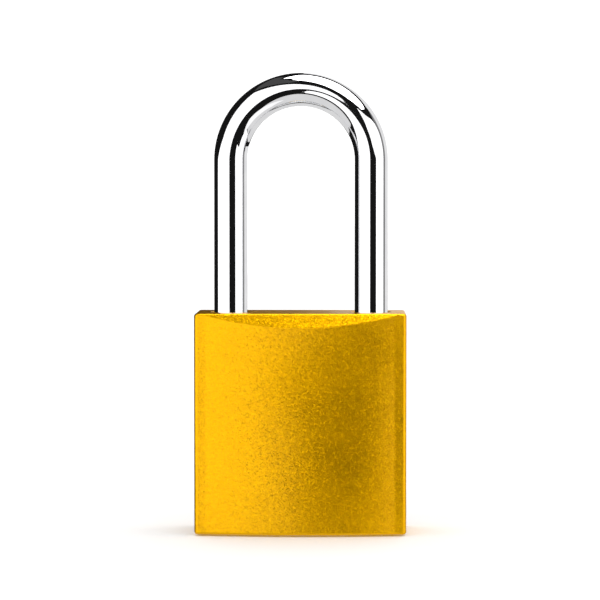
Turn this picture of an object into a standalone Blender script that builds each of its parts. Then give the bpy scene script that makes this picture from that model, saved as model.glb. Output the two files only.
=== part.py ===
"""A keyed padlock: arched aluminium body, chromed shackle, ball locking, five pin key cylinder.

Metres, +Z up. The origin is the middle of the body's bottom face, and the front faces -Y.
The heel leg, which stays in the body, is at -X. The toe leg, which comes out, is at +X.
The pins stand at the shear line, as the right key holds them, so that the plug can turn.
"""

import math

import bmesh
import bpy
from mathutils import Matrix, Vector

MM = 0.001

# Fits. A running gap is left round what moves or touches, a slip gap behind what is held.
GAP = 0.3 * MM
END_GAP = 0.6 * MM
OVERCUT = 1.0 * MM

# Body
BODY_WIDTH = 40.0 * MM
BODY_HEIGHT = 41.7 * MM
SHOULDER_DEPTH = 16.8 * MM
ARCH_RISE = 1.6 * MM
ARCH_HALF_WIDTH = 18.1 * MM
CRESCENT_DROP = 2.3 * MM
CORNER_RADIUS = 0.7 * MM
RIM_RADIUS = 0.5 * MM
BORE_CHAMFER = 0.4 * MM

# Shackle
ROD_DIAMETER = 6.3 * MM
LEG_SPACING = 26.8 * MM
INSIDE_HEIGHT = 39.2 * MM
TOE_INSERTION = 13.7 * MM
TOE_CLEARANCE = 1.5 * MM
TOE_CHAMFER = 0.8 * MM
NECK_DIAMETER = 3.8 * MM
NECK_TOP_DEPTH = 15.7 * MM
COLLAR_HEIGHT = 1.2 * MM

# Locking balls and cam
BALL_DIAMETER = 6.0 * MM
BALL_DEPTH = 5.7 * MM
BALL_ENGAGEMENT = 1.1 * MM
BALL_TRAVEL = 3.5 * MM
KEY_TURN = math.radians(90)
CAM_TOP_MARGIN = 0.2 * MM

# Key cylinder
PLUG_DIAMETER = 10.0 * MM
BARREL_DIAMETER = 15.0 * MM
FACE_RECESS = 0.4 * MM
CHIMNEY_REACH = 15.2 * MM
CHIMNEY_WIDTH = 6.4 * MM
PIN_COUNT = 5
PIN_DIAMETER = 2.4 * MM
PIN_PITCH = 3.6 * MM
FIRST_PIN = 3.3 * MM
BARREL_END_WALL = 1.4 * MM
SCREW_LUG = 2.2 * MM
KEY_PIN_LENGTHS = [3.0 * MM, 2.2 * MM, 3.8 * MM, 2.6 * MM, 3.4 * MM]
PIN_STACK_LENGTH = 6.6 * MM
COVER_THICKNESS = 0.6 * MM
KEYWAY_WIDTH = 1.4 * MM
KEYWAY_OFFSET = 0.3 * MM
KEYWAY_WALL = 1.2 * MM
PIN_BORE_PAST_AXIS = 0.8 * MM
CLIP_THICKNESS = 0.6 * MM
CLIP_WIDTH = 1.3 * MM
CLIP_DEPTH = 0.5 * MM
CLIP_HALF_OPENING = math.radians(25)
TAIL_SLOT_DEPTH = 1.0 * MM
TAIL_WIDTH = 6.0 * MM
TAIL_THICKNESS = 1.8 * MM
TAIL_DISC = 0.7 * MM
TAIL_REACH = 2.4 * MM
DRILL_PIN_DIAMETER = 1.5 * MM
DRILL_PIN_LENGTH = 6.0 * MM
DRILL_PIN_SETBACK = 1.25 * MM

# Fasteners and springs
SCREW_DIAMETER = 2.5 * MM
SCREW_HEAD_DIAMETER = 5.0 * MM
SCREW_HEAD_HEIGHT = 1.5 * MM
SCREW_SOCKET_WIDTH = 2.0 * MM
SCREW_SOCKET_DEPTH = 1.0 * MM
SEAT_WALL = 2.2 * MM
CROSS_PIN_DIAMETER = 2.0 * MM
CROSS_PIN_PAST_HEEL = 3.9 * MM
HEEL_BORE_FLOOR = 1.5 * MM
DRAIN_DIAMETER = 1.5 * MM
CAP_THICKNESS = 0.7 * MM
SHACKLE_SPRING_WIRE = 0.6 * MM
SHACKLE_SPRING_TURNS = 4
PIN_SPRING_WIRE = 0.3 * MM
PIN_SPRING_TURNS = 5

# Facets round a full circle, and along the shorter arcs
ROUND = 32
SMALL_ROUND = 20
COIL_ROUND = 10
BALL_ROUND = 20
BALL_RINGS = 12
BOW_STEPS = 20
ARCH_STEPS = 20
CORNER_STEPS = 3
RIM_STEPS = 2
GROOVE_STEPS = 8
DOME_STEPS = 6
CLIP_STEPS = 28
CAM_TURN_STEPS = 90

# Mesh tolerances
MERGE_DISTANCE = 0.0001 * MM
PLANE_TOLERANCE = 0.001 * MM
SHARP_ANGLE = math.radians(35)

# Worked out from the sizes above
ROD = ROD_DIAMETER / 2
LEG_X = LEG_SPACING / 2
BORE = ROD + GAP
SHOULDER_Y = SHOULDER_DEPTH / 2
TOE_TIP = BODY_HEIGHT - TOE_INSERTION
LIFT = TOE_INSERTION + TOE_CLEARANCE
BOW_Z = BODY_HEIGHT + INSIDE_HEIGHT + ROD - LEG_X
BALL = BALL_DIAMETER / 2
BALL_Z = BODY_HEIGHT - BALL_DEPTH
BALL_X = LEG_X - ROD + BALL_ENGAGEMENT - BALL
CAM = BALL_X - BALL - GAP
CAM_TOP = BALL_Z + BALL + CAM_TOP_MARGIN
NECK = NECK_DIAMETER / 2
NECK_TOP = BODY_HEIGHT - NECK_TOP_DEPTH
CROSS_PIN = CROSS_PIN_DIAMETER / 2
CROSS_PIN_Z = NECK_TOP - GAP - CROSS_PIN
CROSS_PIN_Y = -(NECK + GAP + CROSS_PIN)
NECK_BOTTOM = CROSS_PIN_Z - CROSS_PIN - GAP - LIFT
HEEL_TIP = NECK_BOTTOM - COLLAR_HEIGHT
PLUG = PLUG_DIAMETER / 2
BARREL = BARREL_DIAMETER / 2
PIN = PIN_DIAMETER / 2
CHAMBER = PIN + GAP
PIN_HEIGHTS = [FACE_RECESS + FIRST_PIN + i * PIN_PITCH for i in range(PIN_COUNT)]
BARREL_TOP = PIN_HEIGHTS[-1] + CHAMBER + BARREL_END_WALL
LUG_TOP = BARREL_TOP + SCREW_LUG
CAVITY_TOP = LUG_TOP + GAP
SCREW_SEAT = CAVITY_TOP + SEAT_WALL
SHEAR_IN = math.sqrt(PLUG**2 - PIN**2) - GAP / 2
SHEAR_OUT = PLUG + GAP
CLIP_Z = BARREL_TOP + GAP
CLIP_GROOVE = CLIP_THICKNESS + 2 * GAP
PLUG_TOP = BARREL_TOP + CLIP_GROOVE + TAIL_SLOT_DEPTH
DISC_Z = PLUG_TOP + GAP
TONGUE_Z = DISC_Z + TAIL_DISC
CAM_BOTTOM = TONGUE_Z + GAP


# ---------------------------------------------------------------- mesh helpers


def clear_scene():
    for thing in list(bpy.data.objects):
        bpy.data.objects.remove(thing, do_unlink=True)


def finish_material(name, colour, roughness, metallic):
    """A Principled material, with its colour given as linear RGB."""
    finish = bpy.data.materials.new(name)
    finish.use_nodes = True
    shader = finish.node_tree.nodes["Principled BSDF"]
    shader.inputs["Base Color"].default_value = (*colour, 1)
    shader.inputs["Roughness"].default_value = roughness
    shader.inputs["Metallic"].default_value = metallic
    return finish


def place_bmesh(bm, name, origin=(0, 0, 0)):
    """Make a named object of a bmesh in world coordinates, with its origin at the given point."""
    bmesh.ops.remove_doubles(bm, verts=bm.verts, dist=MERGE_DISTANCE)
    bmesh.ops.recalc_face_normals(bm, faces=bm.faces)
    bmesh.ops.translate(bm, verts=bm.verts, vec=-Vector(origin))
    mesh = bpy.data.meshes.new(name)
    bm.to_mesh(mesh)
    bm.free()
    mesh.shade_smooth()
    mesh.set_sharp_from_angle(angle=SHARP_ANGLE)
    thing = bpy.data.objects.new(name, mesh)
    thing.location = origin
    bpy.context.scene.collection.objects.link(thing)
    return thing


def give(thing, finish):
    thing.data.materials.append(finish)
    return thing


def add_turned(bm, profile, segments=ROUND):
    """Turn a profile of (radius, height) points round Z. It starts and ends on the axis."""
    verts = [bm.verts.new((radius, 0, height)) for radius, height in profile]
    edges = [bm.edges.new(pair) for pair in zip(verts, verts[1:])]
    bmesh.ops.spin(
        bm,
        geom=verts + edges,
        cent=(0, 0, 0),
        axis=(0, 0, 1),
        angle=2 * math.pi,
        steps=segments,
        use_merge=True,
    )


def turned(profile, segments=ROUND):
    bm = bmesh.new()
    add_turned(bm, profile, segments)
    return bm


def round_bar(radius, low, high, segments=ROUND):
    return turned([(0, low), (radius, low), (radius, high), (0, high)], segments)


def extruded(outline, low, high):
    """Raise a closed outline of (x, y) points from one height to another."""
    bm = bmesh.new()
    face = bm.faces.new([bm.verts.new((x, y, low)) for x, y in outline])
    top = bmesh.ops.extrude_face_region(bm, geom=[face])["geom"]
    raised = [part for part in top if isinstance(part, bmesh.types.BMVert)]
    bmesh.ops.translate(bm, verts=raised, vec=(0, 0, high - low))
    return bm


def rectangle(x_low, x_high, half_width):
    return [(x_low, -half_width), (x_high, -half_width), (x_high, half_width), (x_low, half_width)]


def arc(centre, radius, start, end, steps):
    """Points along an arc in a plane, with both ends."""
    angles = [start + (end - start) * i / steps for i in range(steps + 1)]
    return [(centre[0] + radius * math.cos(a), centre[1] + radius * math.sin(a)) for a in angles]


def lofted(rings):
    """Join rings of equally many points into one closed skin."""
    bm = bmesh.new()
    loops = [[bm.verts.new(point) for point in ring] for ring in rings]
    for low, high in zip(loops, loops[1:]):
        for i in range(len(low)):
            j = (i + 1) % len(low)
            bm.faces.new((low[i], low[j], high[j], high[i]))
    bm.faces.new(loops[0])
    bm.faces.new(loops[-1])
    return bm


def moved(bm, vector):
    bmesh.ops.translate(bm, verts=bm.verts, vec=vector)
    return bm


def along_x(bm):
    """Lay a piece that was made along +Z down along +X."""
    bmesh.ops.rotate(bm, cent=(0, 0, 0), matrix=Matrix.Rotation(math.pi / 2, 3, "Y"), verts=bm.verts)
    return bm


def merged(pieces):
    """Put separate bmeshes into one, as one cutter with several bodies."""
    whole = bmesh.new()
    for piece in pieces:
        spare = bpy.data.meshes.new("spare")
        piece.to_mesh(spare)
        piece.free()
        whole.from_mesh(spare)
        bpy.data.meshes.remove(spare)
    return whole


def cut(thing, bm, name):
    """Take a shape away from an object. The cutter stays in the scene, as a wire guide."""
    cutter = place_bmesh(bm, f"cutter_{name}")
    cutter.hide_render = True
    cutter.display_type = "WIRE"
    modifier = thing.modifiers.new(name, "BOOLEAN")
    modifier.operation = "DIFFERENCE"
    modifier.object = cutter


def coil(name, radius, wire, low, high, turns, place):
    """A coil spring round Z from one height to another, then placed by a matrix."""
    curve = bpy.data.curves.new(name, "CURVE")
    curve.dimensions = "3D"
    curve.bevel_depth = wire / 2
    curve.bevel_resolution = 1
    curve.use_fill_caps = True
    count = turns * COIL_ROUND + 1
    spline = curve.splines.new("POLY")
    spline.points.add(count - 1)
    for i, point in enumerate(spline.points):
        turn = 2 * math.pi * i / COIL_ROUND
        height = low + wire / 2 + (high - low - wire) * i / (count - 1)
        spot = place @ Vector((radius * math.cos(turn), radius * math.sin(turn), height))
        point.co = (*spot, 1)
    thing = bpy.data.objects.new(name, curve)
    bpy.context.scene.collection.objects.link(thing)
    return thing


# ---------------------------------------------------------------- body


def body_outline():
    """The body's plan: flat sides, a flat shoulder at each corner, and a shallow arch front and back."""
    sagitta_radius = (ARCH_HALF_WIDTH**2 + ARCH_RISE**2) / (2 * ARCH_RISE)
    spread = math.asin(ARCH_HALF_WIDTH / sagitta_radius)
    centre = (0, -(SHOULDER_Y + ARCH_RISE - sagitta_radius))
    front = arc(centre, sagitta_radius, -math.pi / 2 - spread, -math.pi / 2 + spread, ARCH_STEPS)
    corner_x = BODY_WIDTH / 2 - CORNER_RADIUS
    corner_y = SHOULDER_Y - CORNER_RADIUS
    left_corner = arc((-corner_x, -corner_y), CORNER_RADIUS, -math.pi, -math.pi / 2, CORNER_STEPS)
    right_corner = arc((corner_x, -corner_y), CORNER_RADIUS, -math.pi / 2, 0, CORNER_STEPS)
    half = left_corner + front + right_corner
    return half + [(-x, -y) for x, y in half]


def slope_off(bm, side):
    """Plane the crescent: from the shoulder line at the top, down to the arch's face."""
    slope = Vector((0, side * CRESCENT_DROP, ARCH_RISE)).normalized()
    parts = bm.verts[:] + bm.edges[:] + bm.faces[:]
    line = Vector((0, side * SHOULDER_Y, BODY_HEIGHT))
    cut_edges = bmesh.ops.bisect_plane(
        bm, geom=parts, dist=PLANE_TOLERANCE, plane_co=line, plane_no=slope, clear_outer=True
    )["geom_cut"]
    rim = [part for part in cut_edges if isinstance(part, bmesh.types.BMEdge) and part.is_boundary]
    bmesh.ops.contextual_create(bm, geom=rim)


def leg_bore(x, floor):
    """A shackle bore with the small countersink at its mouth."""
    mouth = BODY_HEIGHT - BORE_CHAMFER
    over = BODY_HEIGHT + OVERCUT
    wide = BORE + BORE_CHAMFER
    profile = [(0, floor), (BORE, floor), (BORE, mouth), (wide, BODY_HEIGHT), (wide, over), (0, over)]
    return moved(turned(profile), (x, 0, 0))


def cylinder_outline(radius, reach, half_width):
    """The plan of a barrel with its chimney toward +X."""
    open_angle = math.asin(half_width / radius)
    barrel = arc((0, 0), radius, open_angle, 2 * math.pi - open_angle, ROUND)
    return barrel + [(reach, -half_width), (reach, half_width)]


def lock_body():
    bm = extruded(body_outline(), 0, BODY_HEIGHT)
    base = [edge for edge in bm.edges if all(vert.co.z < RIM_RADIUS / 2 for vert in edge.verts)]
    bmesh.ops.bevel(
        bm, geom=base, offset=RIM_RADIUS, segments=RIM_STEPS, profile=0.5, affect="EDGES", material=-1
    )
    slope_off(bm, 1)
    slope_off(bm, -1)
    body = place_bmesh(bm, "lock_body")
    cavity = cylinder_outline(
        BARREL + GAP, CHIMNEY_REACH + COVER_THICKNESS + 2 * GAP, CHIMNEY_WIDTH / 2 + GAP
    )
    cut(body, extruded(cavity, -OVERCUT, CAVITY_TOP), "cylinder_cavity")
    cut(body, round_bar(CAM + GAP, CAVITY_TOP - OVERCUT, CAM_TOP + GAP), "cam_bore")
    cut(body, leg_bore(LEG_X, SCREW_SEAT), "toe_bore")
    cut(body, leg_bore(-LEG_X, HEEL_BORE_FLOOR), "heel_bore")
    channel = along_x(round_bar(BALL + GAP, -LEG_X, LEG_X))
    cut(body, moved(channel, (0, 0, BALL_Z)), "ball_channel")
    screw_hole = SCREW_DIAMETER / 2 + GAP
    drilled = round_bar(screw_hole, CAVITY_TOP - OVERCUT, SCREW_SEAT + OVERCUT, SMALL_ROUND)
    cut(body, moved(drilled, (LEG_X, 0, 0)), "screw_hole")
    drain = round_bar(DRAIN_DIAMETER / 2, -OVERCUT, HEEL_BORE_FLOOR + OVERCUT, SMALL_ROUND)
    cut(body, moved(drain, (-LEG_X, 0, 0)), "drain_hole")
    pin_hole = along_x(
        round_bar(CROSS_PIN + GAP, -BODY_WIDTH / 2 - OVERCUT, cross_pin_end() + GAP, SMALL_ROUND)
    )
    cut(body, moved(pin_hole, (0, CROSS_PIN_Y, CROSS_PIN_Z)), "cross_pin_hole")
    return body


# ---------------------------------------------------------------- shackle


def ball_groove():
    """The heel leg's groove, bottom to top, as (radius, height).

    The ball's own round at the top, then the straight run that it follows inward while the leg lifts.
    """
    ball = BALL + GAP
    away = LEG_X - BALL_X
    run = math.hypot(LIFT, BALL_TRAVEL)
    tangent_angle = math.pi + math.atan2(BALL_TRAVEL, LIFT)
    deep_radius = away - ball * LIFT / run
    deep_height = BALL_Z - ball * BALL_TRAVEL / run
    ramp_end = deep_height - (ROD - deep_radius) * LIFT / BALL_TRAVEL
    top_angle = math.pi - math.acos((away - ROD) / ball)
    return [(ROD, ramp_end)] + arc((away, BALL_Z), ball, tangent_angle, top_angle, GROOVE_STEPS)


def heel_profile():
    """The heel leg from its tip up, as (radius, height): collar, neck and ball groove."""
    return [
        (ROD, HEEL_TIP),
        (ROD, NECK_BOTTOM),
        (NECK, NECK_BOTTOM),
        (NECK, NECK_TOP),
        (ROD, NECK_TOP),
        *ball_groove(),
    ]


def ring(centre, across, radius):
    """A circle of points round a centre, in the plane of the given direction and Y."""
    turns = [2 * math.pi * i / ROUND for i in range(ROUND)]
    lay = [(radius * math.cos(turn), radius * math.sin(turn)) for turn in turns]
    return [centre + a * across + Vector((0, b, 0)) for a, b in lay]


def shackle():
    """Rings from the heel's tip up the leg, round the bow, and down the toe leg to its tip."""
    rings = [ring(Vector((-LEG_X, 0, z)), Vector((1, 0, 0)), r) for r, z in heel_profile()]
    for i in range(BOW_STEPS + 1):
        angle = math.pi - math.pi * i / BOW_STEPS
        out = Vector((math.cos(angle), 0, math.sin(angle)))
        rings.append(ring(Vector((0, 0, BOW_Z)) + LEG_X * out, -out, ROD))
    for radius, z in ((ROD, TOE_TIP + TOE_CHAMFER), (ROD - TOE_CHAMFER, TOE_TIP)):
        rings.append(ring(Vector((LEG_X, 0, z)), Vector((-1, 0, 0)), radius))
    bow = place_bmesh(lofted(rings), "shackle")
    cut(bow, toe_notch(), "toe_notch")
    return bow


def toe_notch():
    """The space that the ball sweeps beside the toe leg, from its locked place to fully drawn in."""
    ball = BALL + GAP
    path = Vector((-BALL_TRAVEL, 0, -LIFT))
    dome = arc((0, 0), ball, math.pi / 2, 0, DOME_STEPS)
    profile = [(0, ball), *dome[1:], (ball, -path.length), (0, -path.length)]
    bm = turned(profile, ROUND)
    turn = Vector((0, 0, -1)).rotation_difference(path).to_matrix()
    bmesh.ops.rotate(bm, cent=(0, 0, 0), matrix=turn, verts=bm.verts)
    return moved(bm, (BALL_X, 0, BALL_Z))


# ---------------------------------------------------------------- balls, cam and tailpiece


def locking_ball(name, x):
    bm = bmesh.new()
    bmesh.ops.create_uvsphere(bm, u_segments=BALL_ROUND, v_segments=BALL_RINGS, radius=BALL)
    return place_bmesh(moved(bm, (x, 0, BALL_Z)), name, (x, 0, BALL_Z))


def cam_reach(angle):
    """How far the cam may reach in a direction, and stay clear of both balls through the whole turn."""
    ball = BALL + GAP
    reach = CAM
    for i in range(CAM_TURN_STEPS + 1):
        share = i / CAM_TURN_STEPS
        away = BALL_X - BALL_TRAVEL * share
        for side in (0, math.pi):
            off = angle + KEY_TURN * share + side
            across = away * math.sin(off)
            if math.cos(off) > 0 and abs(across) < ball:
                reach = min(reach, away * math.cos(off) - math.sqrt(ball**2 - across**2))
    return reach


def cam():
    """A round shank with a slot for the tailpiece, and above it two lobes that hold the balls out."""
    step_z = BALL_Z - BALL - GAP
    count = 2 * ROUND
    angles = [2 * math.pi * i / count for i in range(count)]
    lobes = [cam_reach(angle) for angle in angles]
    levels = [(CAM_BOTTOM, None), (step_z, None), (step_z, lobes), (CAM_TOP, lobes)]
    rings = []
    for z, shape in levels:
        reaches = shape or [CAM] * count
        points = zip(reaches, angles)
        rings.append([Vector((r * math.cos(a), r * math.sin(a), z)) for r, a in points])
    piece = place_bmesh(lofted(rings), "cam", (0, 0, CAM_BOTTOM))
    half = TAIL_WIDTH / 2 + GAP
    plan = rectangle(-half, half, TAIL_THICKNESS / 2 + GAP)
    cut(piece, extruded(plan, CAM_BOTTOM - OVERCUT, tongue_top() + GAP), "cam_slot")
    return piece


def tongue_top():
    return TONGUE_Z + TAIL_REACH


def tailpiece():
    """A disc with a tongue below, in the plug's slot, and one above, in the cam's slot."""
    disc = round_bar(PLUG - CLIP_DEPTH - GAP, DISC_Z, TONGUE_Z)
    tongue = extruded(
        rectangle(-TAIL_WIDTH / 2, TAIL_WIDTH / 2, TAIL_THICKNESS / 2),
        PLUG_TOP - TAIL_SLOT_DEPTH + GAP,
        tongue_top(),
    )
    piece = place_bmesh(disc, "tailpiece", (0, 0, DISC_Z))
    guide = place_bmesh(tongue, "guide_tongue")
    guide.hide_render = True
    guide.display_type = "WIRE"
    modifier = piece.modifiers.new("tongue", "BOOLEAN")
    modifier.operation = "UNION"
    modifier.object = guide
    return piece


# ---------------------------------------------------------------- key cylinder


def chambers(radius, start, end):
    """One cutter with a chamber along +X at each pin's height."""
    bores = [along_x(round_bar(radius, start, end, SMALL_ROUND)) for _ in PIN_HEIGHTS]
    return merged([moved(bore, (0, 0, z)) for bore, z in zip(bores, PIN_HEIGHTS)])


def cylinder_housing():
    outline = cylinder_outline(BARREL, CHIMNEY_REACH, CHIMNEY_WIDTH / 2)
    housing = place_bmesh(extruded(outline, FACE_RECESS, LUG_TOP), "cylinder_housing")
    relief = round_bar(BARREL + GAP, BARREL_TOP, LUG_TOP + OVERCUT)
    cut(housing, relief, "barrel_top")
    cut(housing, round_bar(PLUG + GAP, -OVERCUT, LUG_TOP + OVERCUT), "plug_bore")
    cut(housing, chambers(CHAMBER, PLUG, CHIMNEY_REACH + OVERCUT), "chambers")
    tapping = round_bar(SCREW_DIAMETER / 2 + GAP, screw_tip() - GAP, LUG_TOP + OVERCUT, SMALL_ROUND)
    cut(housing, moved(tapping, (LEG_X, 0, 0)), "tapping")
    return housing


def keyway_outline():
    """A stepped keyway: the blade's lower half and upper half stand to opposite sides."""
    low = -(PLUG - KEYWAY_WALL)
    high = PLUG - KEYWAY_WALL
    left = -KEYWAY_WIDTH / 2
    right = KEYWAY_WIDTH / 2
    step = KEYWAY_OFFSET
    return [
        (low, left - step),
        (-step, left - step),
        (-step, left + step),
        (high, left + step),
        (high, right + step),
        (step, right + step),
        (step, right - step),
        (low, right - step),
    ]


def plug():
    groove_top = BARREL_TOP + CLIP_GROOVE
    neck = PLUG - CLIP_DEPTH
    profile = [
        (0, FACE_RECESS),
        (PLUG, FACE_RECESS),
        (PLUG, BARREL_TOP),
        (neck, BARREL_TOP),
        (neck, groove_top),
        (PLUG, groove_top),
        (PLUG, PLUG_TOP),
        (0, PLUG_TOP),
    ]
    core = place_bmesh(turned(profile), "plug", (0, 0, FACE_RECESS))
    keyway = extruded(keyway_outline(), -OVERCUT, PIN_HEIGHTS[-1] + CHAMBER + END_GAP)
    cut(core, keyway, "keyway")
    cut(core, chambers(CHAMBER, -PIN_BORE_PAST_AXIS, PLUG + OVERCUT), "pin_bores")
    slot = extruded(
        rectangle(-PLUG - OVERCUT, PLUG + OVERCUT, TAIL_THICKNESS / 2 + GAP),
        PLUG_TOP - TAIL_SLOT_DEPTH,
        PLUG_TOP + OVERCUT,
    )
    cut(core, slot, "tail_slot")
    holes = []
    for side in (1, -1):
        hole = round_bar(
            DRILL_PIN_DIAMETER / 2 + GAP, -OVERCUT, drill_pin_top() + GAP, SMALL_ROUND
        )
        holes.append(moved(hole, (-DRILL_PIN_SETBACK, side * drill_pin_y(), 0)))
    cut(core, merged(holes), "drill_pin_holes")
    return core


def plug_clip():
    """An open ring in the plug's groove: it stands past the plug and rests over the barrel."""
    inner = PLUG - CLIP_DEPTH + GAP
    outer = inner + CLIP_WIDTH
    start = math.pi + CLIP_HALF_OPENING
    end = 3 * math.pi - CLIP_HALF_OPENING
    outline = arc((0, 0), outer, start, end, CLIP_STEPS) + arc((0, 0), inner, end, start, CLIP_STEPS)
    return place_bmesh(extruded(outline, CLIP_Z, CLIP_Z + CLIP_THICKNESS), "plug_clip", (0, 0, CLIP_Z))


def key_pin(index):
    """A lower pin: flat at the shear line, a 45 degree cone toward the key."""
    end = SHEAR_IN
    tip = end - KEY_PIN_LENGTHS[index]
    flat = PIN / 2
    profile = [(0, tip), (flat, tip), (PIN, tip + PIN - flat), (PIN, end), (0, end)]
    z = PIN_HEIGHTS[index]
    bm = moved(along_x(turned(profile, SMALL_ROUND)), (0, 0, z))
    return place_bmesh(bm, f"key_pin_{index + 1}", (tip, 0, z))


def driver_end(index):
    return SHEAR_OUT + PIN_STACK_LENGTH - KEY_PIN_LENGTHS[index]


def driver_pin(index):
    """An upper pin, shorter where its key pin is longer."""
    z = PIN_HEIGHTS[index]
    bm = along_x(round_bar(PIN, SHEAR_OUT, driver_end(index), SMALL_ROUND))
    return place_bmesh(moved(bm, (0, 0, z)), f"driver_pin_{index + 1}", (SHEAR_OUT, 0, z))


def pin_spring(index):
    lay = Matrix.Translation((0, 0, PIN_HEIGHTS[index])) @ Matrix.Rotation(math.pi / 2, 4, "Y")
    radius = PIN - PIN_SPRING_WIRE / 2
    low = driver_end(index) + GAP
    return coil(
        f"pin_spring_{index + 1}", radius, PIN_SPRING_WIRE, low, CHIMNEY_REACH, PIN_SPRING_TURNS, lay
    )


def chamber_cover():
    """A strip over the chimney's end, which closes the chambers behind their springs."""
    start = CHIMNEY_REACH + GAP
    low = PIN_HEIGHTS[0] - CHAMBER - END_GAP
    high = PIN_HEIGHTS[-1] + CHAMBER + END_GAP
    bm = extruded(rectangle(start, start + COVER_THICKNESS, CHAMBER + END_GAP), low, high)
    return place_bmesh(bm, "chamber_cover")


def drill_pin_y():
    return (PLUG + KEYWAY_WIDTH / 2) / 2


def drill_pin_top():
    return FACE_RECESS + GAP + DRILL_PIN_LENGTH


def anti_drill_pin(number, side):
    place = (-DRILL_PIN_SETBACK, side * drill_pin_y(), 0)
    bm = round_bar(DRILL_PIN_DIAMETER / 2, FACE_RECESS + GAP, drill_pin_top(), SMALL_ROUND)
    return place_bmesh(moved(bm, place), f"anti_drill_pin_{number}", place)


# ---------------------------------------------------------------- fasteners and shackle spring


def screw_tip():
    """The screw stops short of the topmost pin chamber."""
    return PIN_HEIGHTS[-1] + CHAMBER + END_GAP + GAP


def cylinder_screw():
    """A socket screw: its head stands on the toe bore's floor, its shank in the housing's lug."""
    low = SCREW_SEAT + GAP
    high = low + SCREW_HEAD_HEIGHT
    shank = SCREW_DIAMETER / 2
    head = SCREW_HEAD_DIAMETER / 2
    profile = [(0, screw_tip()), (shank, screw_tip()), (shank, low), (head, low), (head, high), (0, high)]
    bm = moved(turned(profile, SMALL_ROUND), (LEG_X, 0, 0))
    screw = place_bmesh(bm, "cylinder_screw", (LEG_X, 0, low))
    hexagon = arc((LEG_X, 0), SCREW_SOCKET_WIDTH / math.sqrt(3), 0, 5 * math.pi / 3, 5)
    cut(screw, extruded(hexagon, high - SCREW_SOCKET_DEPTH, high + OVERCUT), "screw_socket")
    return screw


def cross_pin_end():
    return -LEG_X + CROSS_PIN_PAST_HEEL


def heel_retaining_pin():
    """A cross pin from the left side, which passes the heel leg's neck off its middle."""
    start = -BODY_WIDTH / 2 + GAP
    bm = along_x(round_bar(CROSS_PIN, start, cross_pin_end(), SMALL_ROUND))
    place = (0, CROSS_PIN_Y, CROSS_PIN_Z)
    return place_bmesh(moved(bm, place), "heel_retaining_pin", (start, CROSS_PIN_Y, CROSS_PIN_Z))


def spring_cap():
    high = HEEL_TIP - GAP
    bm = moved(round_bar(ROD - GAP, high - CAP_THICKNESS, high), (-LEG_X, 0, 0))
    return place_bmesh(bm, "spring_cap", (-LEG_X, 0, high))


def shackle_spring():
    radius = ROD - GAP - SHACKLE_SPRING_WIRE / 2
    low = HEEL_BORE_FLOOR + GAP
    high = HEEL_TIP - GAP - CAP_THICKNESS - GAP
    lay = Matrix.Translation((-LEG_X, 0, 0))
    return coil("shackle_spring", radius, SHACKLE_SPRING_WIRE, low, high, SHACKLE_SPRING_TURNS, lay)


# ---------------------------------------------------------------- assembly


def build():
    clear_scene()
    gold = finish_material("gold_anodised_aluminium", (0.72, 0.40, 0.01), 0.38, 1.0)
    chrome = finish_material("chrome_plate", (0.78, 0.78, 0.79), 0.05, 1.0)
    brass = finish_material("turned_brass", (0.60, 0.42, 0.16), 0.30, 1.0)
    nickel = finish_material("nickel_silver", (0.55, 0.53, 0.48), 0.28, 1.0)
    hardened = finish_material("hardened_steel", (0.36, 0.36, 0.37), 0.25, 1.0)
    zinc = finish_material("zinc_plated_steel", (0.60, 0.61, 0.63), 0.32, 1.0)
    spring_steel = finish_material("spring_steel", (0.42, 0.42, 0.43), 0.30, 1.0)

    give(lock_body(), gold)
    give(shackle(), chrome)
    give(locking_ball("ball_toe", BALL_X), hardened)
    give(locking_ball("ball_heel", -BALL_X), hardened)
    give(cam(), zinc)
    give(tailpiece(), brass)
    give(cylinder_housing(), brass)
    give(plug(), brass)
    give(plug_clip(), spring_steel)
    for index in range(PIN_COUNT):
        give(key_pin(index), brass)
        give(driver_pin(index), nickel)
        give(pin_spring(index), spring_steel)
    give(chamber_cover(), brass)
    give(anti_drill_pin(1, 1), hardened)
    give(anti_drill_pin(2, -1), hardened)
    give(cylinder_screw(), zinc)
    give(heel_retaining_pin(), hardened)
    give(spring_cap(), zinc)
    give(shackle_spring(), spring_steel)


build()
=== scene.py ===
"""The looks of a keyed padlock: gold anodised body, chromed shackle, brass key cylinder with its pins."""
import math

import bmesh
import bpy
from mathutils import Matrix, Vector


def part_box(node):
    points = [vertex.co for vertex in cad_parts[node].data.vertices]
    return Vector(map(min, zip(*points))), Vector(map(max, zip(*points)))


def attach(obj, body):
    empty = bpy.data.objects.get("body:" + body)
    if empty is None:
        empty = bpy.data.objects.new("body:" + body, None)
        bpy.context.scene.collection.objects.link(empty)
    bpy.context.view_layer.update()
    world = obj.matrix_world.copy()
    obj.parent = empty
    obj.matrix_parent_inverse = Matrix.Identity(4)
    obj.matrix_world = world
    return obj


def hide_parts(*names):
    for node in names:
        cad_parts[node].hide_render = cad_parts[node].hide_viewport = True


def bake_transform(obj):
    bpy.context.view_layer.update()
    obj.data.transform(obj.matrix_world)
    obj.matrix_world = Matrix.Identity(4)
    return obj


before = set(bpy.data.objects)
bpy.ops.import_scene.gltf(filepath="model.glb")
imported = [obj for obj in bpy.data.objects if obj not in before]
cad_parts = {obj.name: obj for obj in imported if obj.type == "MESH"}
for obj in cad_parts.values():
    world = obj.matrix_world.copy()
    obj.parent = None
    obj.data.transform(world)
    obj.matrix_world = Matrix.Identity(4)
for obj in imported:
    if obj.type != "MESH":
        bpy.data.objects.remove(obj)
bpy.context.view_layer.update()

MM = 0.001


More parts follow.
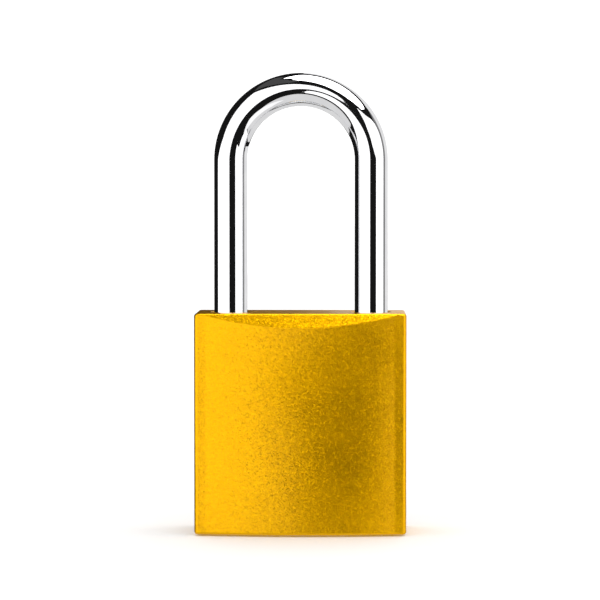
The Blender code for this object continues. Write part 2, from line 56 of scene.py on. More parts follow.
# ------------------------------------------------------------------------------------------------
# Lock body: one length of extruded aluminium, milled square, with a shallow arch front and back.
# The top is planed off in front and behind, which leaves a crescent, and the edges are broken.
# It is bead blasted, dyed gold and anodised, and holds every other piece in its bores.

body_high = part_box("lock_body")[1]
shackle_low, shackle_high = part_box("shackle")
body_half_width = body_high.x
body_arch_y = body_high.y
body_top = body_high.z
shoulder_y = 8.4 * MM
arch_half_width = 18.1 * MM
crescent_drop = 2.3 * MM
shoulder_chamfer = 0.35 * MM
corner_radius = 0.7 * MM
rim_radius = 0.5 * MM
edge_break = 0.12 * MM
rod_radius = 3.15 * MM
leg_x = (shackle_high.x - shackle_low.x) / 2 - rod_radius
touching = 0.001 * MM


def colour(text, alpha=1.0):
    """An sRGB hex colour as linear RGBA."""
    parts = [int(text[i:i + 2], 16) / 255 for i in (1, 3, 5)]
    linear = [c / 12.92 if c <= 0.04045 else ((c + 0.055) / 1.055) ** 2.4 for c in parts]
    return (*linear, alpha)


def new_material(name):
    """An empty material with its output, as (material, tree, output)."""
    material = bpy.data.materials.new(name)
    material.use_nodes = True
    tree = material.node_tree
    tree.nodes.clear()
    return material, tree, tree.nodes.new("ShaderNodeOutputMaterial")


def add(tree, kind, links=None, values=None, **settings):
    """Add a node with its settings, its sockets' values, and links from other sockets into it."""
    node = tree.nodes.new(kind)
    for name, value in settings.items():
        setattr(node, name, value)
    for socket, value in (values or {}).items():
        node.inputs[socket].default_value = value
    for socket, source in (links or {}).items():
        tree.links.new(source, node.inputs[socket])
    return node


def ramp(tree, source, stops):
    """A colour ramp over a value, from (position, colour) stops."""
    node = add(tree, "ShaderNodeValToRGB", {"Fac": source})
    elements = node.color_ramp.elements
    while len(elements) < len(stops):
        elements.new(0.5)
    for element, (position, shade) in zip(elements, stops):
        element.position = position
        element.color = shade
    return node


def finished(bm, name, angle=30.0):
    """Make a piece of a bmesh: doubles merged, faces outward, smooth but for its sharp edges."""
    bmesh.ops.remove_doubles(bm, verts=bm.verts, dist=0.0005 * MM)
    bmesh.ops.recalc_face_normals(bm, faces=bm.faces)
    mesh = bpy.data.meshes.new(name)
    bm.to_mesh(mesh)
    bm.free()
    mesh.shade_smooth()
    mesh.set_sharp_from_angle(angle=math.radians(angle))
    piece = bpy.data.objects.new(name, mesh)
    bpy.context.scene.collection.objects.link(piece)
    return piece


def bored(piece, cutters):
    """Take cutters away from a piece, and leave it a plain closed mesh."""
    for cutter in cutters:
        modifier = piece.modifiers.new(cutter.name, "BOOLEAN")
        modifier.object = cutter
        modifier.operation = "DIFFERENCE"
    view = bpy.context.evaluated_depsgraph_get()
    mesh = bpy.data.meshes.new_from_object(piece.evaluated_get(view), depsgraph=view)
    bm = bmesh.new()
    bm.from_mesh(mesh)
    bmesh.ops.remove_doubles(bm, verts=bm.verts, dist=0.002 * MM)
    bmesh.ops.holes_fill(bm, edges=[e for e in bm.edges if e.is_boundary])
    bm.to_mesh(mesh)
    bm.free()
    piece.modifiers.clear()
    piece.data = mesh
    for cutter in cutters:
        bpy.data.objects.remove(cutter)
    mesh.shade_smooth()
    mesh.set_sharp_from_angle(angle=math.radians(30))
    return piece


def turned(profile, steps=96):
    """Turn a profile of (radius, height) points round Z."""
    bm = bmesh.new()
    verts = [bm.verts.new((r, 0, z)) for r, z in profile]
    edges = [bm.edges.new(pair) for pair in zip(verts, verts[1:])]
    bmesh.ops.spin(bm, geom=verts + edges, cent=(0, 0, 0), axis=(0, 0, 1),
                   angle=math.tau, steps=steps, use_merge=True)
    return bm


def shifted(bm, x=0.0, y=0.0, z=0.0):
    bmesh.ops.translate(bm, verts=bm.verts, vec=(x, y, z))
    return bm


def laid_along_x(bm):
    bmesh.ops.rotate(bm, verts=bm.verts, cent=(0, 0, 0), matrix=Matrix.Rotation(math.pi / 2, 3, "Y"))
    return bm


def raised(outline, low, high):
    """Raise a closed outline of (x, y) points between two heights."""
    bm = bmesh.new()
    face = bm.faces.new([bm.verts.new((x, y, low)) for x, y in outline])
    top = bmesh.ops.extrude_face_region(bm, geom=[face])["geom"]
    bmesh.ops.translate(bm, verts=[v for v in top if isinstance(v, bmesh.types.BMVert)],
                        vec=(0, 0, high - low))
    return bm


def arc(cx, cy, radius, start, end, steps):
    """Points along an arc, with both its ends; angles in degrees."""
    turns = [math.radians(start + (end - start) * i / steps) for i in range(steps + 1)]
    return [(cx + radius * math.cos(t), cy + radius * math.sin(t)) for t in turns]


def cylinder_plan(radius, reach, half_width, steps=72):
    """A round barrel with a straight chimney toward +X."""
    opening = math.degrees(math.asin(half_width / radius))
    return arc(0, 0, radius, opening, 360 - opening, steps) + [(reach, -half_width), (reach, half_width)]


def bevel_edges(bm, edges, width, segments):
    bmesh.ops.bevel(bm, geom=edges, offset=width, segments=segments, profile=0.5,
                    affect="EDGES", material=-1)


arch_rise = body_arch_y - shoulder_y
arch_radius = (arch_half_width**2 + arch_rise**2) / (2 * arch_rise)
arch_spread = math.degrees(math.asin(arch_half_width / arch_radius))
corner_x = body_half_width - corner_radius
corner_y = shoulder_y - corner_radius
half_plan = (
    arc(-corner_x, -corner_y, corner_radius, 180, 270, 6)
    + arc(0, arch_radius - body_arch_y, arch_radius, 270 - arch_spread, 270 + arch_spread, 64)
    + arc(corner_x, -corner_y, corner_radius, 270, 360, 6)
)
body_bm = raised(half_plan + [(-x, -y) for x, y in half_plan], 0, body_top)
bottom_rim = [e for e in body_bm.edges if all(v.co.z < touching for v in e.verts)]
bevel_edges(body_bm, bottom_rim, rim_radius, 4)
side_rim = [e for e in body_bm.edges
            if all(v.co.z > body_top - touching and abs(v.co.x) > corner_x - touching for v in e.verts)]
bevel_edges(body_bm, side_rim, rim_radius, 4)

# The crescents: the top is planed off on a slope in front and behind, and the new edges are broken.
same_way = 0.001
for side in (1, -1):
    normal = Vector((0, side * crescent_drop, arch_rise)).normalized()
    line = Vector((0, side * shoulder_y, body_top - shoulder_chamfer))
    cut = bmesh.ops.bisect_plane(
        body_bm, geom=body_bm.verts[:] + body_bm.edges[:] + body_bm.faces[:], dist=touching / 10,
        plane_co=line, plane_no=normal, clear_outer=True)["geom_cut"]
    loop = [e for e in cut if isinstance(e, bmesh.types.BMEdge) and e.is_boundary]
    bmesh.ops.contextual_create(body_bm, geom=loop)
    slope = [f for f in body_bm.faces
             if (f.normal - normal).length < same_way or (f.normal + normal).length < same_way]
    border = {e for f in slope for e in f.edges}
    bevel_edges(body_bm, list(border), edge_break, 2)
lock_body = finished(body_bm, "body_shell")

# The bores: the cylinder's cavity from below, the two leg bores from above, the balls' channel
# across, and the small holes for the screw, the heel pin and the water to run out.
fit = 0.3 * MM
over = 1.0 * MM
bore_radius = rod_radius + fit
mouth_chamfer = 0.4 * MM
housing_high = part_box("cylinder_housing")[1]
cover_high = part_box("chamber_cover")[1]
ball_low, ball_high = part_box("ball_toe")
cam_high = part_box("cam")[1]
cross_low, cross_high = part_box("heel_retaining_pin")
screw_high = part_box("cylinder_screw")[1]
barrel_radius = housing_high.y
cavity_top = housing_high.z + fit
screw_head_height = 1.5 * MM
screw_seat = screw_high.z - screw_head_height - fit
screw_hole_radius = 1.55 * MM
heel_floor = 1.5 * MM
drain_radius = 0.75 * MM
ball_z = (ball_low.z + ball_high.z) / 2
channel_radius = (ball_high.z - ball_low.z) / 2 + fit
chimney_half = 3.2 * MM
chimney_reach = cover_high.x + fit
cross_y = (cross_low.y + cross_high.y) / 2
cross_z = (cross_low.z + cross_high.z) / 2
cross_radius = (cross_high.z - cross_low.z) / 2 + fit


def leg_bore(x, floor):
    wide = bore_radius + mouth_chamfer
    profile = [(0, floor), (bore_radius, floor), (bore_radius, body_top - mouth_chamfer),
               (wide, body_top), (wide, body_top + over), (0, body_top + over)]
    return finished(shifted(turned(profile), x=x), "bore")


def rod_of(radius, low, high, steps=64):
    return turned([(0, low), (radius, low), (radius, high), (0, high)], steps)


def drill(radius, low, high, x=0.0):
    return finished(shifted(rod_of(radius, low, high), x=x), "drill")


cavity_plan = cylinder_plan(barrel_radius + fit, chimney_reach, chimney_half + fit)
cavity = finished(raised(cavity_plan, -over, cavity_top), "cavity")
channel_bm = laid_along_x(rod_of(channel_radius, -leg_x, leg_x))
cross_bm = laid_along_x(rod_of(cross_radius, -body_half_width - over, cross_high.x + fit, 48))
bored(lock_body, [
    cavity,
    drill(cam_high.x + fit, cavity_top - over, cam_high.z + fit),
    leg_bore(leg_x, screw_seat),
    leg_bore(-leg_x, heel_floor),
    finished(shifted(channel_bm, z=ball_z), "channel"),
    drill(screw_hole_radius, cavity_top - over, screw_seat + over, x=leg_x),
    drill(drain_radius, -over, heel_floor + over, x=-leg_x),
    finished(shifted(cross_bm, y=cross_y, z=cross_z), "cross_hole"),
])

# Gold anodised aluminium: the dye sits in the clear oxide over a blasted and lightly brushed face,
# so the colour is deep and the sheen soft, and single dimples glint where the light falls off. A
# real blasted dimple is about half as wide; the dimples are drawn coarser, so that they still show.
dimple_size = 0.17 * MM
dimple_lean = 0.13
grit_size = 0.33 * MM
brush_width = 0.3 * MM
brush_stretch = 0.3
cloud_size = 9 * MM
anodised, tree, output = new_material("gold_anodised_aluminium")
place = add(tree, "ShaderNodeTexCoord").outputs["Object"]

# The dye's shade follows the grit and the brushed lines, and the sheen drifts over the face.
grit = add(tree, "ShaderNodeTexNoise", {"Vector": place},
           {"Scale": 1 / grit_size, "Detail": 2.0, "Roughness": 0.6})
stretch = add(tree, "ShaderNodeMapping", {"Vector": place}, {"Scale": (brush_stretch, brush_stretch, 1.0)})
streak = add(tree, "ShaderNodeTexNoise", {"Vector": stretch.outputs["Vector"]},
             {"Scale": 1 / brush_width, "Detail": 2.0})
speck = add(tree, "ShaderNodeMath", {0: streak.outputs["Fac"], 2: grit.outputs["Fac"]}, {1: 0.8},
            operation="MULTIPLY_ADD")
spread = add(tree, "ShaderNodeMapRange", {"Value": speck.outputs["Value"]},
             {"From Min": 0.5, "From Max": 1.3})
shade = ramp(tree, spread.outputs["Result"], [(0.0, colour("#F3AB00")), (1.0, colour("#FFC300"))])
cloud = add(tree, "ShaderNodeTexNoise", {"Vector": place}, {"Scale": 1 / cloud_size, "Detail": 3.0})
sheen = add(tree, "ShaderNodeMapRange", {"Value": cloud.outputs["Fac"]},
            {"From Min": 0.3, "From Max": 0.7, "To Min": 0.29, "To Max": 0.34})

# Each dimple leans its own way: most hardly at all, and a few enough to catch another light.
dimples = add(tree, "ShaderNodeTexVoronoi", {"Vector": place}, {"Scale": 1 / dimple_size}, feature="F1")
facing = add(tree, "ShaderNodeNewGeometry").outputs["Normal"]
lean = add(tree, "ShaderNodeVectorMath", {0: dimples.outputs["Color"]}, {1: (2, 2, 2), 2: (-1, -1, -1)},
           operation="MULTIPLY_ADD").outputs["Vector"]
squared = add(tree, "ShaderNodeVectorMath", {0: lean, 1: lean}, operation="MULTIPLY").outputs["Vector"]
cubed = add(tree, "ShaderNodeVectorMath", {0: squared, 1: lean}, operation="MULTIPLY").outputs["Vector"]
tilt = add(tree, "ShaderNodeVectorMath", {0: cubed}, {"Scale": dimple_lean}, operation="SCALE")
tilted = add(tree, "ShaderNodeVectorMath", {0: facing, 1: tilt.outputs["Vector"]}, operation="ADD")
glint = add(tree, "ShaderNodeVectorMath", {0: tilted.outputs["Vector"]}, operation="NORMALIZE")
brushed = add(tree, "ShaderNodeBump", {"Height": streak.outputs["Fac"], "Normal": glint.outputs["Vector"]},
              {"Strength": 0.10, "Distance": 0.02 * MM})
surface = add(tree, "ShaderNodeBsdfPrincipled",
              {"Base Color": shade.outputs["Color"], "Roughness": sheen.outputs["Result"],
               "Normal": brushed.outputs["Normal"]},
              {"Metallic": 1.0, "Coat Weight": 0.12, "Coat Roughness": 0.2})
tree.links.new(surface.outputs["BSDF"], output.inputs["Surface"])
lock_body.data.materials.clear()
lock_body.data.materials.append(anodised)
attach(lock_body, "lock")
lock_body.visible_glossy = False
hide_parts("lock_body")


# ------------------------------------------------------------------------------------------------
# Shackle: a hardened steel rod bent to a U, ground, copper and nickel plated, and chromed bright.
# The short toe leg has a milled ball notch, and the long heel leg a turned groove, neck and collar.

bow_z = shackle_high.z - rod_radius - leg_x
toe_tip = body_top - 13.7 * MM
ball_radius = (ball_high.z - ball_low.z) / 2 + fit
ball_x = (ball_low.x + ball_high.x) / 2
ball_travel = 3.5 * MM
lift = 15.2 * MM
neck_radius = 1.9 * MM
neck_top = body_top - 15.7 * MM
neck_bottom = cross_low.z - fit - lift
edge = 0.25 * MM
toe_chamfer = 0.8 * MM
plain_below_top = 1.0 * MM

away = leg_x - ball_x
run = math.hypot(lift, ball_travel)
deep_r = away - ball_radius * lift / run
deep_z = ball_z - ball_radius * ball_travel / run
ramp_end = deep_z - (rod_radius - deep_r) * lift / ball_travel
tangent = 180 + math.degrees(math.atan2(ball_travel, lift))
groove_top = 180 - math.degrees(math.acos((away - rod_radius) / ball_radius))
# The heel leg is turned from its profile, the bow is swept from its end, and the toe leg is drawn out.
heel = (
    [(0, shackle_low.z), (rod_radius - edge, shackle_low.z), (rod_radius, shackle_low.z + edge)]
    + [(rod_radius, neck_bottom - edge), (rod_radius - edge, neck_bottom)]
    + [(neck_radius + edge, neck_bottom)] + [(neck_radius, neck_bottom + edge)]
    + [(neck_radius, neck_top - edge), (neck_radius + edge, neck_top)]
    + [(rod_radius - edge, neck_top), (rod_radius, neck_top + edge), (rod_radius, ramp_end)]
    + arc(away, ball_z, ball_radius, tangent, groove_top, 12)
    + [(rod_radius, body_top - plain_below_top), (rod_radius, bow_z)]
)
ring_steps = 96
shackle_bm = bmesh.new()
verts = [shackle_bm.verts.new((r, 0, z)) for r, z in heel]
edges = [shackle_bm.edges.new(pair) for pair in zip(verts, verts[1:])]
bmesh.ops.spin(shackle_bm, geom=verts + edges, cent=(0, 0, 0), axis=(0, 0, 1),
               angle=math.tau, steps=ring_steps, use_merge=True)
bmesh.ops.remove_doubles(shackle_bm, verts=shackle_bm.verts, dist=0.0005 * MM)
shifted(shackle_bm, x=-leg_x)
mouth = [e for e in shackle_bm.edges if e.is_boundary]
bent = bmesh.ops.spin(shackle_bm, geom=mouth, cent=(0, 0, bow_z), axis=(0, 1, 0),
                      angle=math.pi, steps=96)["geom_last"]
mouth = [e for e in bent if isinstance(e, bmesh.types.BMEdge)]
for z, radius in ((toe_tip + toe_chamfer, rod_radius), (toe_tip, rod_radius - toe_chamfer)):
    grown = bmesh.ops.extrude_edge_only(shackle_bm, edges=mouth)["geom"]
    ring = [v for v in grown if isinstance(v, bmesh.types.BMVert)]
    mouth = [e for e in grown if isinstance(e, bmesh.types.BMEdge) and e.is_boundary]
    for v in ring:
        spoke = Vector((v.co.x - leg_x, v.co.y, 0)).normalized() * radius
        v.co = (leg_x + spoke.x, spoke.y, z)
bmesh.ops.contextual_create(shackle_bm, geom=mouth)
shackle = finished(shackle_bm, "shackle_rod", 25.0)

# The ball notch: the ball's own path into the toe leg, as the shackle drops past it.
notch_path = Vector((-ball_travel, 0, -lift))
dome = arc(0, 0, ball_radius, 90, 0, 16)
notch_bm = turned([(max(r, 0.0), z) for r, z in dome[1:]] + [(ball_radius, -notch_path.length),
                                                              (0, -notch_path.length)], 96)
bmesh.ops.holes_fill(notch_bm, edges=[e for e in notch_bm.edges if e.is_boundary])
turn = Vector((0, 0, -1)).rotation_difference(notch_path).to_matrix()
bmesh.ops.rotate(notch_bm, cent=(0, 0, 0), matrix=turn, verts=notch_bm.verts)
bored(shackle, [finished(shifted(notch_bm, x=ball_x, z=ball_z), "notch")])

# Bright chrome plate: a mirror, with the faintest waviness of the ground rod under it, which keeps
# the edges of its reflections from being dead straight.
chrome, tree, output = new_material("bright_chrome_plate")
place = add(tree, "ShaderNodeTexCoord").outputs["Object"]
wave = add(tree, "ShaderNodeTexNoise", {"Vector": place}, {"Scale": 1 / (2.5 * MM), "Detail": 1.0})
haze = add(tree, "ShaderNodeTexNoise", {"Vector": place}, {"Scale": 1 / (0.5 * MM), "Detail": 4.0})
gloss = add(tree, "ShaderNodeMapRange", {"Value": haze.outputs["Fac"]},
            {"From Min": 0.35, "From Max": 0.75, "To Min": 0.02, "To Max": 0.06})
tint = ramp(tree, wave.outputs["Fac"], [(0.3, colour("#F4F4F6")), (0.7, colour("#FBFBFC"))])
ripple = add(tree, "ShaderNodeBump", {"Height": wave.outputs["Fac"]},
             {"Strength": 0.02, "Distance": 0.02 * MM})
surface = add(tree, "ShaderNodeBsdfPrincipled",
              {"Base Color": tint.outputs["Color"], "Roughness": gloss.outputs["Result"],
               "Normal": ripple.outputs["Normal"]},
              {"Metallic": 1.0})
tree.links.new(surface.outputs["BSDF"], output.inputs["Surface"])
shackle.data.materials.clear()
shackle.data.materials.append(chrome)
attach(shackle, "shackle")
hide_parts("shackle")


# ------------------------------------------------------------------------------------------------
# Key cylinder: a turned brass housing with a chimney for the pins, the plug that turns in it, the
# thin cover pressed over the chimney, a sprung clip, a flat tailpiece and two hard anti-drill pins.

def metal(name, shades, gloss, grain, depth, turning=None):
    """A metal whose shade and gloss drift from spot to spot. grain is the size of its marks along
    x, y and z, depth their depth, and turning the step of a lathe's rings round Z. Marks finer
    than about 0.2 mm are drawn coarser than the real ones, so that they still show."""
    material, tree, output = new_material(name)
    place = add(tree, "ShaderNodeTexCoord").outputs["Object"]
    spots = add(tree, "ShaderNodeTexNoise", {"Vector": place}, {"Scale": 1 / (1.6 * MM), "Detail": 4.0})
    tint = ramp(tree, spots.outputs["Fac"], [(0.35, colour(shades[0])), (0.65, colour(shades[1]))])
    sheen = add(tree, "ShaderNodeMapRange", {"Value": spots.outputs["Fac"]},
                {"From Min": 0.3, "From Max": 0.7, "To Min": gloss[0], "To Max": gloss[1]})
    drawn = add(tree, "ShaderNodeMapping", {"Vector": place}, {"Scale": tuple(1 / size for size in grain)})
    marks = add(tree, "ShaderNodeTexNoise", {"Vector": drawn.outputs["Vector"]},
                {"Scale": 1.0, "Detail": 3.0})
    relief = add(tree, "ShaderNodeBump", {"Height": marks.outputs["Fac"]},
                 {"Strength": 0.5, "Distance": depth})
    if turning:
        rings = add(tree, "ShaderNodeTexWave", {"Vector": place},
                    {"Scale": math.tau / (20 * turning), "Distortion": 0.5, "Detail": 1.0},
                    wave_type="RINGS", rings_direction="Z")
        relief = add(tree, "ShaderNodeBump",
                     {"Height": rings.outputs["Fac"], "Normal": relief.outputs["Normal"]},
                     {"Strength": 0.5, "Distance": depth})
    surface = add(tree, "ShaderNodeBsdfPrincipled",
                  {"Base Color": tint.outputs["Color"], "Roughness": sheen.outputs["Result"],
                   "Normal": relief.outputs["Normal"]},
                  {"Metallic": 1.0})
    tree.links.new(surface.outputs["BSDF"], output.inputs["Surface"])
    return material


def fitted(piece, node, body, material):
    """Give a piece its material, and put it on its body in a CAD node's place."""
    piece.data.materials.clear()
    piece.data.materials.append(material)
    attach(piece, body)
    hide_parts(node)
    return piece


def refined(node, break_width):
    """A CAD node's copy with its triangles merged into flats and its sharp edges broken."""
    bm = bmesh.new()
    bm.from_mesh(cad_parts[node].data)
    bm.transform(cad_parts[node].matrix_world)
    bmesh.ops.remove_doubles(bm, verts=bm.verts, dist=0.001 * MM)
    bmesh.ops.dissolve_limit(bm, angle_limit=math.radians(0.5), verts=bm.verts, edges=bm.edges)
    piece = finished(bm, node + "_piece", 35.0)
    broken = piece.modifiers.new("broken_edges", "BEVEL")
    broken.width = break_width
    broken.segments = 2
    broken.limit_method = "ANGLE"
    broken.angle_limit = math.radians(35)
    return piece


# Turned brass: warm yellow, with the fine rings of the lathe and a few duller, handled spots.
turned_brass = metal("turned_brass", ("#B08D45", "#D2B164"), (0.22, 0.38), (0.3 * MM,) * 3, 0.006 * MM,
                     turning=0.24 * MM)
fitted(refined("cylinder_housing", 0.08 * MM), "cylinder_housing", "lock", turned_brass)
fitted(refined("plug", 0.06 * MM), "plug", "key_plug", turned_brass)

# Rolled brass: a little paler, with long streaks from the rolls.
rolled_brass = metal("rolled_brass", ("#B8964C", "#D9BC74"), (0.2, 0.34), (0.25 * MM, 0.25 * MM, 3 * MM),
                     0.005 * MM)
fitted(refined("chamber_cover", 0.05 * MM), "chamber_cover", "lock", rolled_brass)
fitted(refined("tailpiece", 0.05 * MM), "tailpiece", "key_plug", rolled_brass)

# Blued spring steel: dark grey with a brown cast, and fine marks along the wire.
spring_steel = metal("blued_spring_steel", ("#4E4B49", "#7C7A78"), (0.24, 0.4), (0.2 * MM,) * 3, 0.004 * MM)
fitted(refined("plug_clip", 0.04 * MM), "plug_clip", "key_plug", spring_steel)

# Ground hard steel: cool and bright, with crossed marks from the grinding wheel.
hard_steel = metal("ground_hard_steel", ("#9DA0A4", "#C4C6C9"), (0.1, 0.2), (0.12 * MM, 0.12 * MM, 0.8 * MM),
                   0.003 * MM)
for number in (1, 2):
    node = f"anti_drill_pin_{number}"
    fitted(refined(node, 0.04 * MM), node, "key_plug", hard_steel)


# ------------------------------------------------------------------------------------------------
# Pin stacks: five chambers, each with a brass key pin cut to its own length, a nickel silver driver
# pin over it, and a small coil spring pressing both toward the key.

def coil(length, radius, wire, turns, steps=20):
    """A coil spring up Z from height 0, with its wire's ends capped."""
    bm = bmesh.new()
    tilt = Matrix.Rotation(math.pi / 2, 4, "X")
    tilt.translation = (radius - wire / 2, 0, wire / 2)
    start = bmesh.ops.create_circle(bm, cap_ends=True, segments=12, radius=wire / 2, matrix=tilt)["verts"]
    face = [f for f in bm.faces if all(v in start for v in f.verts)]
    count = int(turns * steps)
    bmesh.ops.spin(bm, geom=face, cent=(0, 0, 0), axis=(0, 0, 1), angle=math.tau * turns, steps=count,
                   dvec=(0, 0, (length - wire) / count))
    return bm


# Nickel silver: a pale, slightly warm grey, turned smooth.
nickel_silver = metal("nickel_silver", ("#A9A59A", "#CBC8BF"), (0.16, 0.3), (0.25 * MM,) * 3, 0.004 * MM)
# Key pins wear bright where the key's cuts slide over them.
pin_brass = metal("pin_brass", ("#A98740", "#D8B96C"), (0.14, 0.34), (0.2 * MM,) * 3, 0.004 * MM)
pin_wire = 0.3 * MM
pin_spring_turns = 5
pin_edge = 0.05 * MM
for number in range(1, 6):
    key_pin = f"key_pin_{number}"
    driver_pin = f"driver_pin_{number}"
    pin_spring = f"pin_spring_{number}"
    fitted(refined(key_pin, pin_edge), key_pin, "key_plug", pin_brass)
    fitted(refined(driver_pin, pin_edge), driver_pin, "lock", nickel_silver)
    low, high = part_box(pin_spring)
    spring_bm = laid_along_x(coil(high.x - low.x, (high.y - low.y) / 2, pin_wire, pin_spring_turns))
    shifted(spring_bm, x=low.x, y=(low.y + high.y) / 2, z=(low.z + high.z) / 2)
    fitted(finished(spring_bm, pin_spring + "_coil"), pin_spring, "lock", spring_steel)


# ------------------------------------------------------------------------------------------------
# Locking works: a cam that spreads two hard balls into the shackle, the screw that holds the
# cylinder, the pin that keeps the heel leg in, and the heel leg's lifting spring under its cap.

# Zinc plate: blue-white over steel, with soft spangles and a brushed base.
works_edge = 0.06 * MM
zinc_plate = metal("zinc_plated_steel", ("#93979C", "#BFC5CB"), (0.22, 0.42), (0.5 * MM,) * 3, 0.006 * MM)
fitted(refined("cam", works_edge), "cam", "key_plug", zinc_plate)
fitted(refined("spring_cap", works_edge), "spring_cap", "shackle", zinc_plate)
fitted(refined("cylinder_screw", works_edge), "cylinder_screw", "lock", zinc_plate)
fitted(refined("heel_retaining_pin", works_edge), "heel_retaining_pin", "lock", hard_steel)

# The balls are ground steel too, and run in the channel between the cam and the legs.
for node, body in (("ball_toe", "toe_ball"), ("ball_heel", "heel_ball")):
    low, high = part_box(node)
    centre = (low + high) / 2
    radius = (high.z - low.z) / 2
    half_ring = [(max(x, 0.0), z) for x, z in arc(0, 0, radius, -90, 90, 32)]
    ball = finished(shifted(turned(half_ring, 64), x=centre.x, y=centre.y, z=centre.z), node + "_ground")
    fitted(ball, node, body, hard_steel)

# The lifting spring stands on the heel bore's floor.
low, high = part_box("shackle_spring")
spring_x = (low.x + high.x) / 2
spring_wire = 0.6 * MM
spring_turns = 4
spring_bm = coil(high.z - low.z, (high.y - low.y) / 2, spring_wire, spring_turns, 32)
lift_spring = finished(shifted(spring_bm, x=spring_x, z=low.z), "shackle_spring_coil")
lift_spring.data.materials.append(spring_steel)
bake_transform(lift_spring)
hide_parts("shackle_spring")


# ------------------------------------------------------------------------------------------------
# Studio: a dark room with softboxes ahead on both sides and overhead, a pale table and backdrop.
# The lit cards show only in the metal, and the even white light around makes the floor and the air.

def lit(name, shade, strength=1.0):
    """A card's even glow."""
    material, tree, output = new_material(name)
    glow = add(tree, "ShaderNodeEmission", None, {"Color": colour(shade), "Strength": strength})
    tree.links.new(glow.outputs["Emission"], output.inputs["Surface"])
    return material


def in_reflections(obj, material):
    """Stage a part of the studio that only the metal sees."""
    obj.data.materials.append(material)
    obj.visible_camera = False
    obj.visible_diffuse = False
    obj.visible_shadow = False
    obj.visible_transmission = False
    return obj


def sheet_of(name, points):
    bm = bmesh.new()
    bm.faces.new([bm.verts.new(point) for point in points])
    mesh = bpy.data.meshes.new(name)
    bm.to_mesh(mesh)
    bm.free()
    obj = bpy.data.objects.new(name, mesh)
    bpy.context.scene.collection.objects.link(obj)
    return obj


# The cards are set out by the directions in which the middle of the bow sees them.
bow_centre = Vector((0, 0, 78 * MM))
card_distance = 1200 * MM


def softbox(name, corners, material):
    """A lit card whose corners stand at (azimuth, elevation) from the bow; 0 is ahead and 90 right."""
    points = []
    for azimuth, elevation in corners:
        a, e = math.radians(azimuth), math.radians(elevation)
        ray = Vector((math.cos(e) * math.sin(a), -math.cos(e) * math.cos(a), math.sin(e)))
        points.append(bow_centre + card_distance * ray)
    return in_reflections(sheet_of(name, points), material)


def laid_card(name, corners, z, material):
    """A level card at height z, with its corners at (azimuth, distance in mm) from the lock."""
    points = []
    for azimuth, distance in corners:
        a = math.radians(azimuth)
        points.append((distance * MM * math.sin(a), -distance * MM * math.cos(a), z))
    return in_reflections(sheet_of(name, points), material)


# Two softboxes flank the lock, a stronger one hangs over it, and the gap between the two in front
# is the dark band down the rod and the shade on the body.
light_level = 1.25
diffuser_level = 1.34
top_level = 3.4
bounce_level = 1.5
diffuser = lit("lit_diffuser", "#FFFFFF", diffuser_level)
softbox("softbox_left", [
    (-8, -4.5), (-8, 0.5), (-1, 2), (5, 8), (10, 15), (11, 20), (9, 25), (2, 31), (-12, 39), (-30, 48),
    (-47, 53), (-67, 55), (-80, 54), (-76, 40), (-74, 15), (-88, 5), (-97, 0), (-97, -6), (-90, -10),
    (-80, -18), (-63, -25), (-47, -27), (-10, -27), (-3, -25), (-2, -18), (-2, -8), (-3, -5)], diffuser)
softbox("softbox_right", [
    (34.5, -8), (34.5, 1), (17, 4), (17, 8), (22, 13), (27, 20), (32, 27), (53, 29), (75, 30), (88, 27),
    (93, 20), (93, -20), (85, -26), (60, -26), (53, -20), (53, -9)], diffuser)
softbox("softbox_top", [
    (27, 41), (33, 36), (53, 34), (80, 39), (97, 43), (130, 55), (180, 62), (-120, 75), (-60, 82), (-20, 72),
    (-7, 65), (10, 57), (21, 48)], lit("lit_top", "#FFFFFF", top_level))

# A dim ceiling shows over the left softbox, and a pale wall behind on the right.
softbox("ceiling", [
    (-160, 45), (-150, 67), (-120, 72), (-60, 78), (-25, 69), (-12, 62), (-3, 55), (-12, 50), (-30, 57),
    (-47, 60), (-67, 62), (-84, 60), (-100, 55), (-130, 52)], lit("lit_ceiling", "#484848"))
softbox("backdrop_right", [
    (112, -13), (112, 38), (130, 40), (180, 40), (180, -1), (150, -7), (120, -12)],
    lit("lit_wall", "#E6E6E6"))
softbox("backdrop_edge", [(93, -8), (93, 30), (112, 36), (112, -8)], lit("lit_edge", "#828282"))

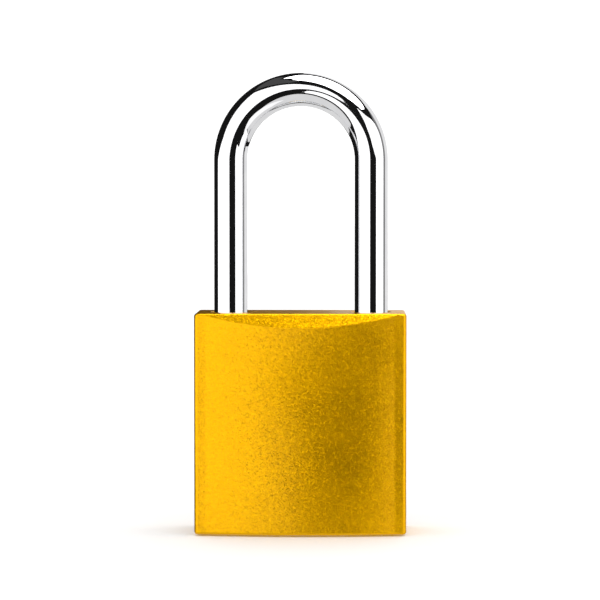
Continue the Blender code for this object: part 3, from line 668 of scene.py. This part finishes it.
# The table lies well below the lock, because the floor that carries it doesn't show in the metal.
# The white bounce card stands close in front on the right, too low for the rod to show it, and the
# black stand behind the foot is the thin dark line under the bow.
table_z = -100 * MM
stand_z = -0.1 * MM
laid_card("table", [
    (-180, 1369), (-150, 712), (-120, 349), (-100, 253), (-80, 274), (-60, 285), (0, 285), (30, 285),
    (55, 342), (90, 365), (120, 582), (150, 1009)], table_z, lit("lit_table", "#DCDCDC"))
standing = []
bounce_distance = 110
for azimuth, height in ((24, -100), (55, -100), (55, 34), (24, 34)):
    a = math.radians(azimuth)
    standing.append(Vector((bounce_distance * math.sin(a), -bounce_distance * math.cos(a), height)) * MM)
in_reflections(sheet_of("bounce", standing), lit("lit_bounce", "#DCDCDC", bounce_level))
laid_card("stand", [
    (-100, 52), (-130, 43), (-150, 36), (180, 30), (150, 36), (130, 43), (100, 52), (100, 46), (130, 33),
    (150, 24), (180, 16), (-150, 24), (-130, 33), (-100, 46)], stand_z, lit("black_stand", "#050505"))

# The dark room closes every gap between the cards.
room_size = 3.0
room_bm = bmesh.new()
bmesh.ops.create_cube(room_bm, size=room_size)
room = finished(room_bm, "room")
in_reflections(room, lit("dark_room", "#161616"))

# White paper under the lock and even white light around it: the floor runs into the air with no line.
floor_reach = 4.0
floor_gap = 0.3 * MM
floor_bm = bmesh.new()
bmesh.ops.create_grid(floor_bm, x_segments=1, y_segments=1, size=floor_reach)
floor = finished(shifted(floor_bm, z=-floor_gap), "floor")
paper, tree, output = new_material("white_paper")
surface = add(tree, "ShaderNodeBsdfPrincipled", None,
              {"Base Color": colour("#F7F7F7"), "Roughness": 0.9})
tree.links.new(surface.outputs["BSDF"], output.inputs["Surface"])
floor.data.materials.append(paper)
floor.visible_glossy = False

world = bpy.data.worlds.new("studio")
bpy.context.scene.world = world
world.use_nodes = True
world.node_tree.nodes["Background"].inputs["Color"].default_value = (1, 1, 1, 1)
world.node_tree.nodes["Background"].inputs["Strength"].default_value = light_level

# The camera stands a little to the right of the lock's middle, level with the shackle's legs, and
# looks slightly down.
camera_data = bpy.data.cameras.new("camera")
camera = bpy.data.objects.new("camera", camera_data)
bpy.context.scene.collection.objects.link(camera)
camera_distance = 515 * MM
camera_azimuth = math.radians(1.0)
camera_elevation = math.radians(2.4)
back = Vector((math.sin(camera_azimuth) * math.cos(camera_elevation),
               -math.cos(camera_azimuth) * math.cos(camera_elevation), math.sin(camera_elevation)))
look_at = Vector((-0.18 * MM, 0, 43.95 * MM))
camera.location = look_at + camera_distance * back
camera.rotation_mode = "QUATERNION"
camera.rotation_quaternion = (-back).to_track_quat("-Z", "Y")
frame_width = 114.56 * MM
sensor_width = 36
camera_data.sensor_width = sensor_width
camera_data.lens = sensor_width * camera_distance / frame_width
camera_data.clip_start = 10 * MM
bpy.context.scene.camera = camera
bpy.context.scene.view_settings.view_transform = "Standard"
